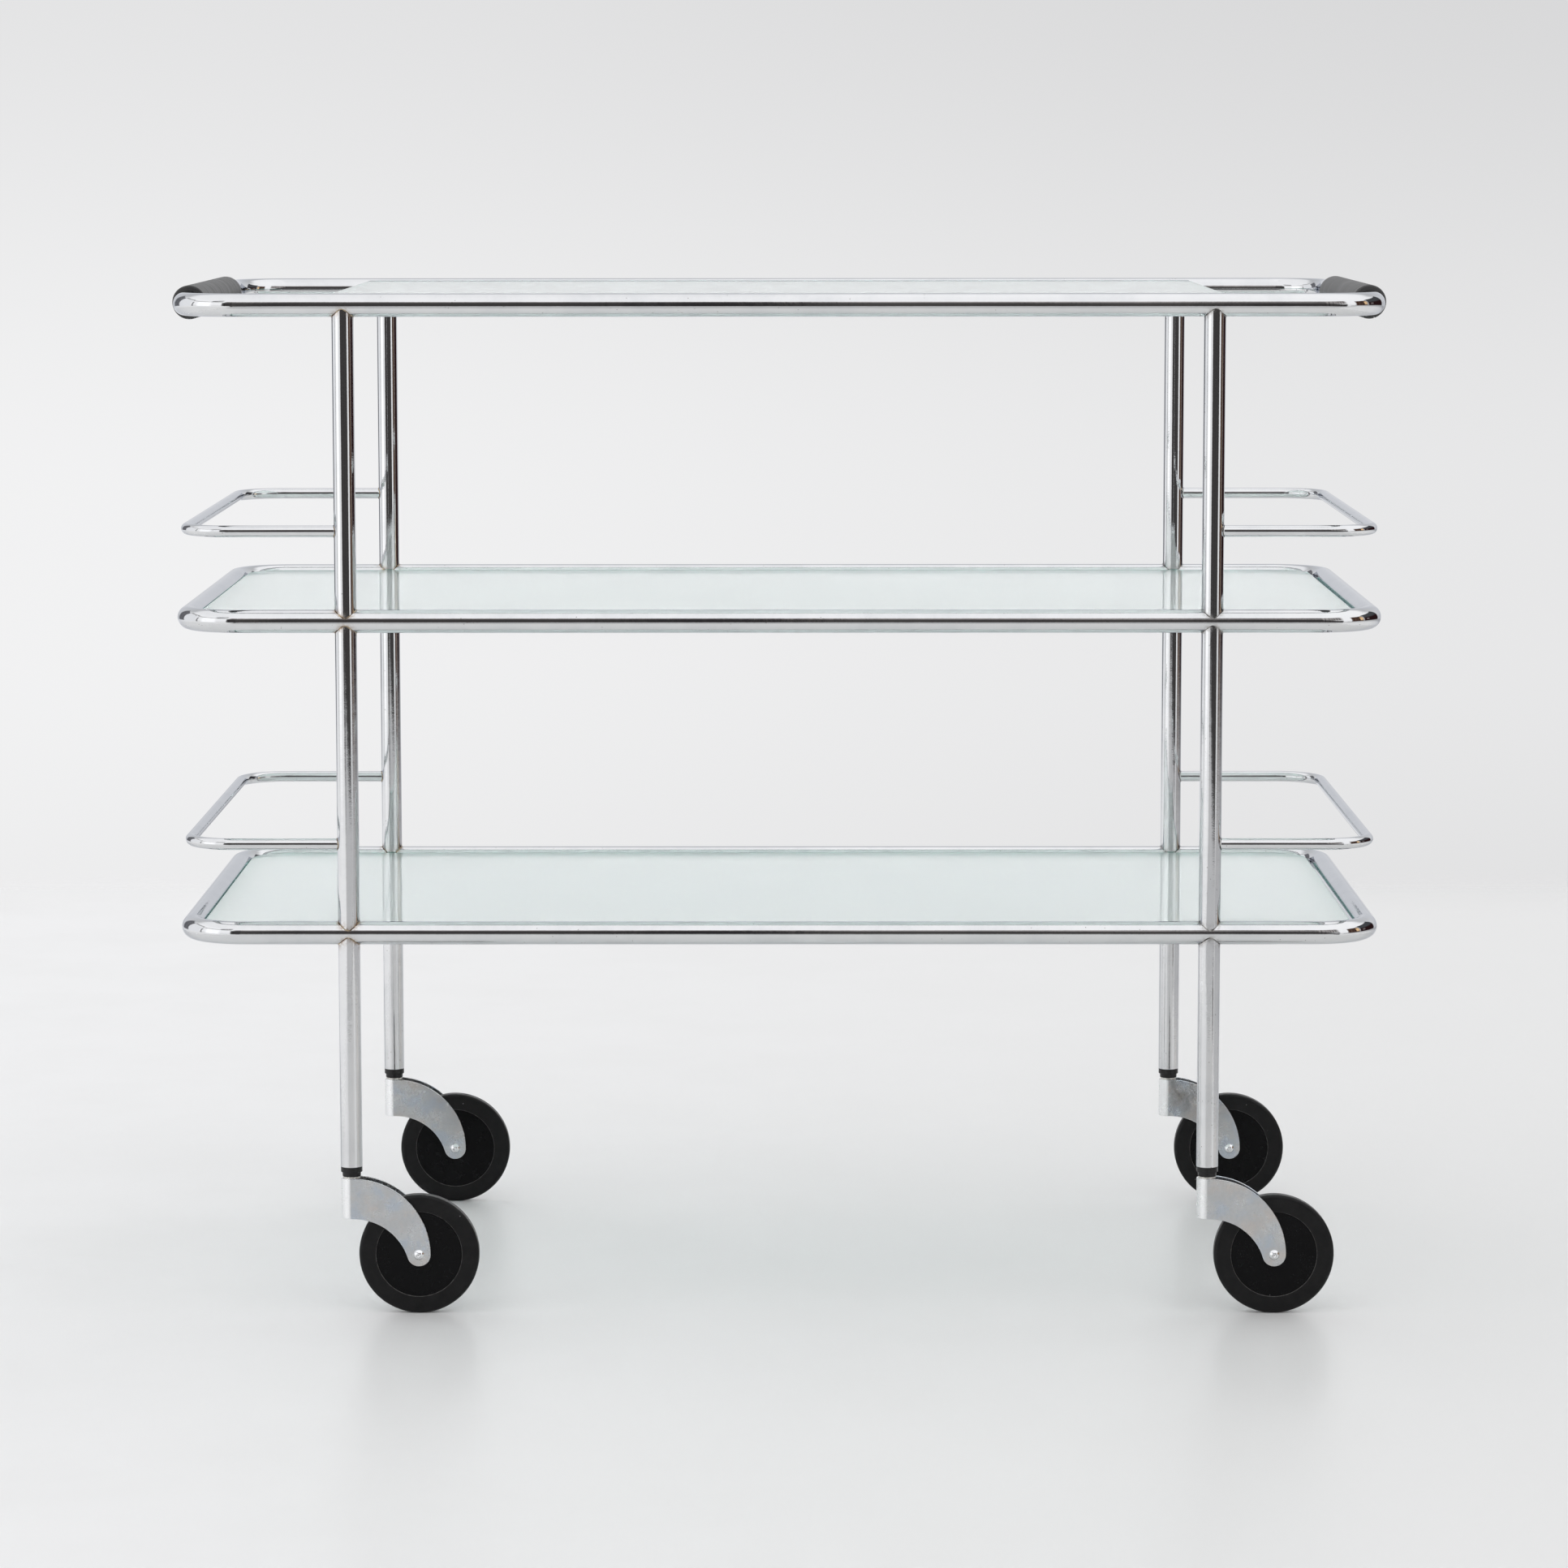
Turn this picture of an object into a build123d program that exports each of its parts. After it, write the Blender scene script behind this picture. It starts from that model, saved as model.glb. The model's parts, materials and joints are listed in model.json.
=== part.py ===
from build123d import *
import os
from math import sqrt

# Three-shelf serving trolley: bent chrome tube frames on coped tube legs, glass panes,
# gallery rails at both ends, sleeved push handles and four swivel casters.
# Millimetres. X runs along the trolley, Y from front to back, Z up from the floor.
# The origin is on the floor below the middle of the trolley.

# Layout of the tube frame
frame_pitch_x = 978.0        # axes of a frame's two end runs
leg_inset_x = 133.5          # from an end run's axis to the nearest leg axis
leg_pitch_y = 460.0          # leg axes, front to back, which are also the frames' long runs
lower_frame_z = 319.5        # axis of the lowest frame above the floor
shelf_pitch = 258.5          # axis to axis, shelf to shelf

# Frame and leg tubes
frame_tube_d = 19.0
frame_tube_wall = 1.5
frame_bend_r = 45.0          # at the tube axis
leg_tube_d = 18.0
leg_tube_wall = 1.2
vent_hole_d = 6.0            # drain hole through the frame wall, hidden inside each leg

# Gallery rails
rail_rod_d = 9.5
rail_bend_r = 38.0           # at the rod axis
rail_rise = 74.0             # rod axis above the axis of the frame below it

# Glass panes and what they rest on
glass_thickness = 6.0
glass_arris = 0.8            # ground edge
glass_side_gap = 1.0         # pane to the long runs
glass_end_gap = 2.2          # pane to the end runs, when it is centred
pane_shift_x = -1.8          # the two lower panes lie a little to the left
pane_rise = 5.3              # top of the two lower panes above the frame axis
top_pane_overhang = 3.5      # past the outer sides of the legs, when it is centred
top_pane_shift_x = -1.5
top_pane_rise = 8.0
top_pane_corner_r = 3.0
lug_inset_x = 61.5           # from a leg's axis to the rest lug beside it
lug_width = 14.0
lug_reach = 9.0              # from the tube's inner side
lug_thickness = 2.5
pad_d = 7.0                  # clear pad between lug and glass
pad_thickness = 1.2

# Handle sleeves
grip_d = 28.0
grip_length = 280.0
grip_shift_y = -16.0         # the sleeves sit a little towards the front
grip_edge_r = 1.6
grip_seam_width = 1.0
grip_seam_depth = 1.4
grip_seam_angle = 18.0       # degrees from straight down, towards +X

# Caster wheel
wheel_d = 100.0
tyre_width = 12.4
tyre_shoulder_r = 3.2
hub_d = 71.2
hub_inset = 0.5              # hub face below the tyre's side face
hub_tongue_width = 4.0       # ridge that keys the tyre to the hub
hub_tongue_height = 2.0
bush_d = 9.0
axle_d = 5.6
running_gap = 0.05           # radial, shaft in bore
side_gap = 0.25              # bush to fork cheek

# Caster fork, one bent sheet around the stem boss
caster_trail = 55.8          # swivel axis to axle
fork_width = 17.4
fork_sheet = 1.8
fork_top_rise = 64.0         # above the axle
fork_nose_height = 34.0
fork_arc_start = 2.0         # where the cheeks' arcs begin, beyond the swivel axis
fork_end_r = 9.8
rivet_head_d = 8.8
rivet_head_height = 2.4
rivet_dimple_d = 3.4
rivet_dimple_depth = 0.9

# Swivel stem, washer and leg socket
stem_d = 8.0
stem_length = 34.0           # above the fork
stem_tip_chamfer = 1.0
boss_recess = 2.0            # boss ends above the fork's lower edge
washer_d = 14.6
washer_thickness = 1.2
washer_bore_gap = 0.2
swivel_gap = 0.3             # washer to socket
neck_d = 15.3
neck_height = 3.5
flange_d = 17.8
flange_height = 4.6
socket_plug_length = 32.0    # inside the leg
socket_fit_gap = 0.05
bore_end_gap = 1.0

# Worked-out levels and half sizes
frame_r = frame_tube_d / 2
half_frame_x = frame_pitch_x / 2
half_leg_x = half_frame_x - leg_inset_x
half_y = leg_pitch_y / 2
frame_levels = {
    "lower": lower_frame_z,
    "middle": lower_frame_z + shelf_pitch,
    "top": lower_frame_z + 2 * shelf_pitch,
}
axle_z = wheel_d / 2
fork_top_z = axle_z + fork_top_rise
fork_bottom_z = fork_top_z - fork_nose_height
washer_top_z = fork_top_z + washer_thickness
neck_bottom_z = washer_top_z + swivel_gap
flange_bottom_z = neck_bottom_z + neck_height
leg_bottom_z = flange_bottom_z + flange_height
fork_inner_width = fork_width - 2 * fork_sheet
bush_length = fork_inner_width - 2 * side_gap
sides_x = {"left": -1, "right": 1}
sides_y = {"front": -1, "back": 1}
corners = {f"{b}_{a}": (sa, sb) for b, sb in sides_y.items() for a, sa in sides_x.items()}


def rod_z(diameter, low, high, x=0.0, y=0.0):
    """Upright cylinder between two heights."""
    return Pos(x, y, low) * Cylinder(diameter / 2, high - low, align=(Align.CENTER, Align.CENTER, Align.MIN))


def rod_x(diameter, length, x, y, z):
    """Cylinder along X, centred on a point."""
    return Pos(x, y, z) * Rot(0, 90, 0) * Cylinder(diameter / 2, length)


def rod_y(diameter, length, x, y, z):
    """Cylinder along Y, centred on a point."""
    return Pos(x, y, z) * Rot(90, 0, 0) * Cylinder(diameter / 2, length)


def frame_tube(z, vents):
    """Closed bent tube frame, with vent holes towards the legs above (+1) or below (-1)."""
    path = Pos(0, 0, z) * RectangleRounded(frame_pitch_x, leg_pitch_y, frame_bend_r).wire()
    start = Plane(origin=(0, -half_y, z), x_dir=(0, 1, 0), z_dir=(1, 0, 0))
    section = Circle(frame_r) - Circle(frame_r - frame_tube_wall)
    tube = sweep(start * section, path=path)
    for direction in vents:
        for side_x, side_y in corners.values():
            low, high = sorted((z, z + direction * frame_tube_d))
            tube -= rod_z(vent_hole_d, low, high, side_x * half_leg_x, side_y * half_y)
    return tube


def leg(low, high, x, y, cope_low=True):
    """Leg tube, coped over the frame tube at its upper end and, if asked, at its lower end."""
    tube = rod_z(leg_tube_d, low, high, x, y) - rod_z(leg_tube_d - 2 * leg_tube_wall, low, high, x, y)
    copes = [low, high] if cope_low else [high]
    for z in copes:
        tube -= rod_x(frame_tube_d, 2 * leg_tube_d, x, y, z)
    return tube


def gallery_rail(side_x, z):
    """U-shaped rod that runs out from one leg, across the end and back to the other leg."""
    leg_x, end_x = side_x * half_leg_x, side_x * half_frame_x
    path = FilletPolyline((leg_x, -half_y, z), (end_x, -half_y, z), (end_x, half_y, z), (leg_x, half_y, z),
                          radius=rail_bend_r)
    start = Plane(origin=(leg_x, -half_y, z), x_dir=(0, 1, 0), z_dir=(side_x, 0, 0))
    rail = sweep(start * Circle(rail_rod_d / 2), path=path)
    for side_y in sides_y.values():
        rail -= rod_z(leg_tube_d, z - leg_tube_d, z + leg_tube_d, leg_x, side_y * half_y)
    return rail


def glass_pane(length, corner_r, x, top_z):
    """Flat pane with ground edges."""
    width = leg_pitch_y - frame_tube_d - 2 * glass_side_gap
    pane = extrude(RectangleRounded(length, width, corner_r), glass_thickness)
    faces = pane.faces().sort_by(Axis.Z)
    pane = chamfer(faces[0].edges() + faces[-1].edges(), glass_arris)
    return Pos(x, 0, top_z - glass_thickness) * pane


def rest_lugs(frame_z, glass_bottom_z):
    """Flat lugs on both long runs of a frame, with the pads that lie on them."""
    lugs, pads = [], []
    top_z = glass_bottom_z - pad_thickness
    reach = frame_r + lug_reach
    for side_x in sides_x.values():
        for side_y in sides_y.values():
            x = side_x * (half_leg_x - lug_inset_x)
            block = Pos(x, side_y * (half_y - reach / 2), top_z - lug_thickness / 2) * Box(
                lug_width, reach, lug_thickness)
            lugs.append(block - rod_x(frame_tube_d, 2 * lug_width, x, side_y * half_y, frame_z))
            pad_y = side_y * (half_y - frame_r - lug_reach / 2)
            pads.append(rod_z(pad_d, top_z, glass_bottom_z, x, pad_y))
    return lugs, pads


def handle_grip(side_x):
    """Sleeve around the end run of the top frame, with its butt seam on the underside."""
    sleeve = Cylinder(grip_d / 2, grip_length)
    sleeve = fillet(sleeve.edges().filter_by(GeomType.CIRCLE), grip_edge_r)
    sleeve -= Cylinder(frame_r, grip_length)
    seam_y = grip_d / 2 - grip_seam_depth / 2
    seam = Pos(0, seam_y, 0) * Box(grip_seam_width, grip_seam_depth, grip_length)
    sleeve -= Rot(0, 0, -grip_seam_angle) * seam
    return Pos(side_x * half_frame_x, grip_shift_y, frame_levels["top"]) * Rot(-90, 0, 0) * sleeve


def caster_socket(x, y):
    """Plug that fills the leg's foot, with a flange under the leg and a neck below it."""
    plug_d = leg_tube_d - 2 * leg_tube_wall - 2 * socket_fit_gap
    socket = rod_z(neck_d, neck_bottom_z, flange_bottom_z, x, y)
    socket += rod_z(flange_d, flange_bottom_z, leg_bottom_z, x, y)
    socket += rod_z(plug_d, leg_bottom_z, leg_bottom_z + socket_plug_length, x, y)
    bore_top = fork_top_z + stem_length + bore_end_gap
    return socket - rod_z(stem_d + 2 * running_gap, neck_bottom_z, bore_top, x, y)


def caster_stem(x, y):
    """Turned pin: a boss held in the fork's nose and a spigot that turns in the socket."""
    boss = rod_z(fork_inner_width, fork_bottom_z + boss_recess, fork_top_z, x, y)
    spigot = rod_z(stem_d, fork_top_z, fork_top_z + stem_length, x, y)
    tip = spigot.faces().sort_by(Axis.Z)[-1]
    return boss + chamfer(tip.edges(), stem_tip_chamfer)


def swivel_washer(x, y):
    """Flat washer on top of the fork."""
    ring = rod_z(washer_d, fork_top_z, washer_top_z, x, y)
    return ring - rod_z(stem_d + 2 * washer_bore_gap, fork_top_z, washer_top_z, x, y)


def fork_side_outline():
    """Side view of the fork: a straight nose, then two arcs that run into the round end at the axle."""
    start = fork_arc_start
    axle = Vector(caster_trail, axle_z)
    run = caster_trail - start
    rise_low = fork_bottom_z - axle_z
    rise_top = fork_top_z - axle_z
    low_r = (run**2 + rise_low**2 - fork_end_r**2) / (2 * (rise_low + fork_end_r))
    top_r = (run**2 + rise_top**2 - fork_end_r**2) / (2 * (rise_top - fork_end_r))
    low_centre = Vector(start, fork_bottom_z - low_r)
    top_centre = Vector(start, fork_top_z - top_r)
    low_way = (axle - low_centre).normalized()
    top_way = (axle - top_centre).normalized()
    up = Vector(0, 1)
    nose = -fork_width / 2
    low_start, low_end = Vector(start, fork_bottom_z), low_centre + low_way * low_r
    top_start, top_end = Vector(start, fork_top_z), top_centre + top_way * top_r
    low_middle = low_centre + (up + low_way).normalized() * low_r
    top_middle = top_centre + (up + top_way).normalized() * top_r
    end_middle = axle + (top_way - low_way).normalized() * fork_end_r
    edges = [
        Line((nose, fork_bottom_z), low_start),
        ThreePointArc(low_start, low_middle, low_end),
        ThreePointArc(low_end, end_middle, top_end),
        ThreePointArc(top_end, top_middle, top_start),
        Line(top_start, (nose, fork_top_z)),
        Line((nose, fork_top_z), (nose, fork_bottom_z)),
    ]
    return make_face(edges)


def bent_strip(width):
    """Plan view of a strip of this width that is round at the nose and open towards the axle."""
    length = caster_trail + 2 * fork_end_r
    return Circle(width / 2) + Pos(length / 2, 0) * Rectangle(length, width)


def caster_fork(x, y):
    """U-bent sheet: the side outline across the fork's width, within the bent strip's plan."""
    block = extrude(Plane.XZ * fork_side_outline(), fork_width / 2, both=True)
    ring = bent_strip(fork_width) - bent_strip(fork_inner_width)
    fork = block & (Pos(0, 0, axle_z - fork_end_r) * extrude(ring, fork_top_rise + fork_end_r))
    fork -= rod_y(axle_d, 2 * fork_width, caster_trail, 0, axle_z)
    return Pos(x, y, 0) * fork


def rivet_head_outline():
    """Half section of one rivet head from the dimple's bottom to the shank, as radius and height."""
    face = fork_width / 2
    head_r, rim_r = rivet_head_d / 2, rivet_dimple_d / 2
    dome_r = (head_r**2 + rivet_head_height**2) / (2 * rivet_head_height)
    dimple_r = (rim_r**2 + rivet_dimple_depth**2) / (2 * rivet_dimple_depth)
    rim_height = face + rivet_head_height - dome_r + sqrt(dome_r**2 - rim_r**2)
    return [
        RadiusArc((0, rim_height - rivet_dimple_depth), (rim_r, rim_height), -dimple_r),
        RadiusArc((rim_r, rim_height), (head_r, face), dome_r),
        Line((head_r, face), (axle_d / 2, face)),
    ]


def axle_rivet(x, y):
    """Rivet through both cheeks, with a domed and dimpled head outside each."""
    head = rivet_head_outline()
    foot = [edge.mirror(Plane.XZ) for edge in head]
    shank = Line(head[-1] @ 1, foot[-1] @ 1)
    core = Line(head[0] @ 0, foot[0] @ 0)
    rivet = revolve(make_face([*head, shank, *foot, core]), Axis.Y)
    return Pos(x + caster_trail, y, axle_z) * rivet


def wheel_ring(bore_d, outer_d, width):
    """Flat ring around the axle, at the origin."""
    return rod_y(outer_d, width, 0, 0, 0) - rod_y(bore_d, 2 * width, 0, 0, 0)


def hub_tongue():
    """Ridge around the hub's rim."""
    return wheel_ring(hub_d - 2 * hub_tongue_height, hub_d + 2 * hub_tongue_height, hub_tongue_width)


def wheel_hub(x, y):
    """Hub disc, a little thinner than the tyre, with a bore for its bush."""
    hub = wheel_ring(bush_d, hub_d, tyre_width - 2 * hub_inset) + hub_tongue()
    return Pos(x + caster_trail, y, axle_z) * hub


def wheel_tyre(x, y):
    """Rubber tyre with rounded shoulders, keyed over the hub's ridge."""
    tyre = rod_y(wheel_d, tyre_width, 0, 0, 0)
    tyre = fillet(tyre.edges().filter_by(GeomType.CIRCLE), tyre_shoulder_r)
    tyre -= rod_y(hub_d, 2 * tyre_width, 0, 0, 0)
    return Pos(x + caster_trail, y, axle_z) * (tyre - hub_tongue())


def wheel_bush(x, y):
    """Bearing sleeve in the hub that turns on the rivet."""
    return Pos(x + caster_trail, y, axle_z) * wheel_ring(axle_d + 2 * running_gap, bush_d, bush_length)


def build_frame(pieces):
    """Frames, legs and gallery rails."""
    lower, middle, top = frame_levels["lower"], frame_levels["middle"], frame_levels["top"]
    for name, vents in {"lower": (-1, 1), "middle": (-1, 1), "top": (-1,)}.items():
        pieces[f"{name}_frame_tube"] = frame_tube(frame_levels[name], vents)
    for name, (side_x, side_y) in corners.items():
        x, y = side_x * half_leg_x, side_y * half_y
        pieces[f"lower_leg_{name}"] = leg(leg_bottom_z, lower, x, y, cope_low=False)
        pieces[f"middle_leg_{name}"] = leg(lower, middle, x, y)
        pieces[f"upper_leg_{name}"] = leg(middle, top, x, y)
    for level in ("lower", "middle"):
        for name, side_x in sides_x.items():
            pieces[f"{level}_gallery_rail_{name}"] = gallery_rail(side_x, frame_levels[level] + rail_rise)


def build_shelves(pieces):
    """Glass panes with the lugs and pads that carry them."""
    full_length = frame_pitch_x - frame_tube_d - 2 * glass_end_gap
    top_length = 2 * half_leg_x + leg_tube_d + 2 * top_pane_overhang
    inner_corner_r = frame_bend_r - frame_r
    panes = {
        "lower": (full_length, inner_corner_r, pane_shift_x, pane_rise),
        "middle": (full_length, inner_corner_r, pane_shift_x, pane_rise),
        "top": (top_length, top_pane_corner_r, top_pane_shift_x, top_pane_rise),
    }
    all_lugs, all_pads = [], []
    for name, (length, corner_r, shift, rise) in panes.items():
        top_z = frame_levels[name] + rise
        pieces[f"{name}_glass_pane"] = glass_pane(length, corner_r, shift, top_z)
        lugs, pads = rest_lugs(frame_levels[name], top_z - glass_thickness)
        all_lugs += lugs
        all_pads += pads
    pieces["shelf_rest_lugs"] = all_lugs
    pieces["glass_rest_pads"] = all_pads


def build_casters(pieces):
    """Four casters, each trailing towards +X."""
    makers = {
        "caster_socket": caster_socket,
        "caster_stem": caster_stem,
        "swivel_washer": swivel_washer,
        "caster_fork": caster_fork,
        "axle_rivet": axle_rivet,
        "wheel_hub": wheel_hub,
        "wheel_tyre": wheel_tyre,
        "wheel_bush": wheel_bush,
    }
    for name, (side_x, side_y) in corners.items():
        for piece, maker in makers.items():
            pieces[f"{piece}_{name}"] = maker(side_x * half_leg_x, side_y * half_y)


def build_trolley():
    """Every piece by its node name: one shape, or a list of like shapes."""
    pieces = {}
    build_frame(pieces)
    build_shelves(pieces)
    for name, side_x in sides_x.items():
        pieces[f"handle_grip_{name}"] = handle_grip(side_x)
    build_casters(pieces)
    return pieces


os.makedirs("parts", exist_ok=True)
for node, shape in build_trolley().items():
    solids = [solid for item in (shape if isinstance(shape, list) else [shape]) for solid in item.solids()]
    export_step(solids[0] if len(solids) == 1 else Compound(children=solids), f"parts/{node}.step")
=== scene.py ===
import json
from math import asin, atan2, cos, exp, hypot, pi, radians, sin, sqrt, tan

import bmesh
import bpy
from mathutils import Matrix, Vector


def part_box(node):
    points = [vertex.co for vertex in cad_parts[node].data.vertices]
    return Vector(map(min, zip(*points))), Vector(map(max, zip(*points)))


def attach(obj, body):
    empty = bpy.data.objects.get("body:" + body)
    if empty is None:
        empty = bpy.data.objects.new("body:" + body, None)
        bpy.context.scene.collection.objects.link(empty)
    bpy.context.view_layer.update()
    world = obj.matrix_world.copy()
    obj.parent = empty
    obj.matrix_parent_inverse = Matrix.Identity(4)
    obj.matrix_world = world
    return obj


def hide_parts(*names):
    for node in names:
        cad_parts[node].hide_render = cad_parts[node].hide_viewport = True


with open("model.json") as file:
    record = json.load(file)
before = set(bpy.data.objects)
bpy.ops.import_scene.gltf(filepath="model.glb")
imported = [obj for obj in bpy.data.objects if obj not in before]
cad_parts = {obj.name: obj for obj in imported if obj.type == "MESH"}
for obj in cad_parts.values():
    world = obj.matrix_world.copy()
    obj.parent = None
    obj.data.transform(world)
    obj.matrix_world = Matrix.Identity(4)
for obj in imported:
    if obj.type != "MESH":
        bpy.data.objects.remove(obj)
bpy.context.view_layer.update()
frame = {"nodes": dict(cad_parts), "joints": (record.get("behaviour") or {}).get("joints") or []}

# Serving trolley of chrome tube and glass on four swivel casters, dressed around its solids.
# Metres, in the frame of the solids: X along the trolley, Y from front to back, Z up from the floor.

MM = 0.001
UP = Vector((0, 0, 1))
ALONG_Y = Vector((0, 1, 0))

# Camera of the photograph
CAMERA_PLACE = (0.01732, -4.49384, 0.97181)
CAMERA_YAW, CAMERA_PITCH, CAMERA_ROLL = -0.0031, 0.1233, 0.0006   # radians, pitch is downwards
CAMERA_LENS, CAMERA_SENSOR = 119.77, 36.0                         # millimetres

# Forms of the tubes and rods
FRAME_BEND_R = 45 * MM
RAIL_BEND_R = 38 * MM
LEG_WALL = 1.2 * MM
TUBE_SIDES, ROD_SIDES, BEND_STEPS = 72, 48, 28

# Welds: the bead, its waves as (count around, share of the radius, shift for each metre of X), and how
# quickly the stain beside it fades on the frames and on the legs
WELD_R = 0.4 * MM
WELD_TURNS, WELD_SIDES = 120, 8
WELD_WAVES = ((9, 0.22, 0), (23, 0.15, 90))
FRAME_STAIN, LEG_STAIN = 1.6 * MM, 2.5 * MM

# Forms of the panes and sleeves
PANE_ARRIS = 0.8 * MM
TOP_PANE_CORNER_R = 3 * MM
PANE_CORNER_STEPS = 16
GLASS_IOR = 1.5
GRIP_EDGE_R = 1.6 * MM
GRIP_SEAM_WIDTH, GRIP_SEAM_DEPTH = 1.0 * MM, 1.4 * MM
GRIP_SEAM_ANGLE = radians(18)   # from straight down, towards +X
GRIP_LIPS = (-1.6, -1.02, -0.98, 0.98, 1.02, 1.6)   # around the seam, in half widths of it
GRIP_STEPS = 128

# Forms of the casters
FORK_SHEET = 1.8 * MM
FORK_NOSE_HEIGHT = 34 * MM
FORK_ARC_START = 2 * MM
FORK_END_R = 9.8 * MM
FORK_EDGE_R, FORK_EDGE_STEPS, FORK_EDGE_ANGLE = 0.6 * MM, 3, radians(50)
FORK_STEPS, NOSE_STEPS = 40, 24
RIVET_SHANK_R, RIVET_HEAD_R, RIVET_HEAD_HEIGHT = 2.8 * MM, 4.4 * MM, 2.4 * MM
RIVET_DIMPLE_R, RIVET_DIMPLE_DEPTH = 1.7 * MM, 0.9 * MM
RIVET_CREASE = radians(35)
NECK_R, NECK_HEIGHT, FLANGE_HEIGHT = 7.65 * MM, 3.5 * MM, 4.6 * MM
STEM_BORE_R = 4.05 * MM
TYRE_SHOULDER_R, TYRE_LIP_R = 3.2 * MM, 0.7 * MM
HUB_R = 35.6 * MM
BUSH_R = 4.5 * MM
LIP_HIGHLIGHT, TREAD_DUST = 0.45 * MM, 0.4 * MM   # widths of the painted highlight line on the tyre's lip around the hub and of the dusty tread
WHEEL_STEPS, SOCKET_STEPS, RIVET_STEPS, HEAD_STEPS = 160, 96, 64, 16

# Moulded and turned edges: their radius, the steps of a rounded edge, and the flat held beside it
EDGE_R, EDGE_STEPS, EDGE_HOLD, GRIP_HOLD = 0.4 * MM, 6, 0.1 * MM, 0.2 * MM

# Floor sheet: where it starts to fade out, and where it ends, to the sides, in front and behind
FLOOR_SIDE, FLOOR_FRONT, FLOOR_BACK = (1.05, 1.45), (1.55, 1.85), (1.95, 2.4)
# Dim floor further out in front: its sides, where it starts, and where it fades out and ends, which is
# nearer towards the right by this slant
FAR_FLOOR_SIDES, FAR_FLOOR_START, FAR_FLOOR_END, FAR_FLOOR_SLANT = (-1.0, 4.5), 1.6, (3.7, 5.1), 0.8
FAR_FLOOR_Z = -1 * MM

EDGE_TINT = (0.72, 0.735, 0.77)   # of chrome, seen along its surface

LEVELS = ("lower", "middle", "top")
LOWER_LEVELS = LEVELS[:2]
CORNERS = ("front_left", "front_right", "back_left", "back_right")


def centre_half(node):
    """Centre and half size of a solid's box."""
    low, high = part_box(node)
    return (low + high) / 2, (high - low) / 2


# Layout read from the frame
joints = {joint["name"]: Vector(joint["pos_m"]) for joint in frame["joints"]}
leg_axes = {corner: joints[f"swivel_{corner}"] for corner in CORNERS}
axles = {corner: joints[f"roll_{corner}"] for corner in CORNERS}
ring_half = centre_half("lower_frame_tube")[1]
frame_r = ring_half.z
run_x, run_y = ring_half.x - frame_r, ring_half.y - frame_r
frame_z = {level: centre_half(f"{level}_frame_tube")[0].z for level in LEVELS}
leg_r = centre_half("middle_leg_front_left")[1].x
rail_r = centre_half("lower_gallery_rail_left")[1].z


# Mesh building

def bent_path(corners, steps, closed=True, hold=0.0):
    """A flat line with rounded corners, as ((x, y), heading) pairs. Each corner is (x, y, bend radius).
    A hold adds a point on each run, that far from the bend, so that the run shades flat."""
    path = []
    for i, (x, y, radius) in enumerate(corners):
        corner = Vector((x, y))
        into = (corner - Vector(corners[i - 1][:2])).normalized()
        out = (Vector(corners[(i + 1) % len(corners)][:2]) - corner).normalized()
        if not closed and i == 0:
            into = out
        if not closed and i == len(corners) - 1:
            out = into
        heading = atan2(into.y, into.x)
        turn = atan2(into.x * out.y - into.y * out.x, into.dot(out))
        if radius == 0 or abs(turn) < 1e-6:
            path.append((corner, heading + turn / 2))
            continue
        side = 1 if turn > 0 else -1
        reach = radius * tan(abs(turn) / 2)
        start = corner - into * reach
        centre = start + side * radius * Vector((-sin(heading), cos(heading)))
        if hold:
            path.append((start - into * hold, heading))
        for k in range(steps + 1):
            h = heading + turn * k / steps
            path.append((centre + side * radius * Vector((sin(h), -cos(h))), h))
        if hold:
            path.append((corner + out * (reach + hold), heading + turn))
    return path


def ring_faces(rings, count, closed=False):
    """Quads between rings of points that follow each other."""
    faces = []
    for i in range(rings if closed else rings - 1):
        a, b = i * count, (i + 1) % rings * count
        for k in range(count):
            n = (k + 1) % count
            faces.append((a + k, a + n, b + n, b + k))
    return faces


def add_piece(name, points, faces, finish, body="trolley", nodes=(), smooth=True, stain_and_highlight=None):
    """A mesh piece that rides a body and stands for its solids. The last argument gives each point a value
    from 0 to 1, which the finishes use for weld stains and dust, and for painted highlights on the forks'
    noses and the tyres' lips.
    """
    mesh = bpy.data.meshes.new(name)
    mesh.from_pydata(points, [], faces)
    shape = bmesh.new()
    shape.from_mesh(mesh)
    bmesh.ops.recalc_face_normals(shape, faces=shape.faces)
    shape.to_mesh(mesh)
    shape.free()
    mesh.polygons.foreach_set("use_smooth", [smooth] * len(mesh.polygons))
    if stain_and_highlight:
        mesh.attributes.new("stain_and_highlight", "FLOAT", "POINT").data.foreach_set("value", stain_and_highlight)
    mesh.materials.append(finish)
    piece = bpy.data.objects.new(name, mesh)
    bpy.context.scene.collection.objects.link(piece)
    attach(piece, body)
    if nodes:
        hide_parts(*nodes)
    return piece


def tube_points(path, z, radius, sides):
    """Circles of points around a level path."""
    points = []
    for (x, y), heading in path:
        side = Vector((sin(heading), -cos(heading), 0))
        for k in range(sides):
            a = 2 * pi * k / sides
            points.append(Vector((x, y, z)) + radius * (cos(a) * side + sin(a) * UP))
    return points


def lathe_points(outline, steps, origin, along):
    """An outline of (radius, height) points turned about an axis through the origin."""
    first = along.orthogonal().normalized()
    second = along.cross(first)
    points = []
    for k in range(steps):
        a = 2 * pi * k / steps
        spoke = cos(a) * first + sin(a) * second
        points += [origin + radius * spoke + height * along for radius, height in outline]
    return points


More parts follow.
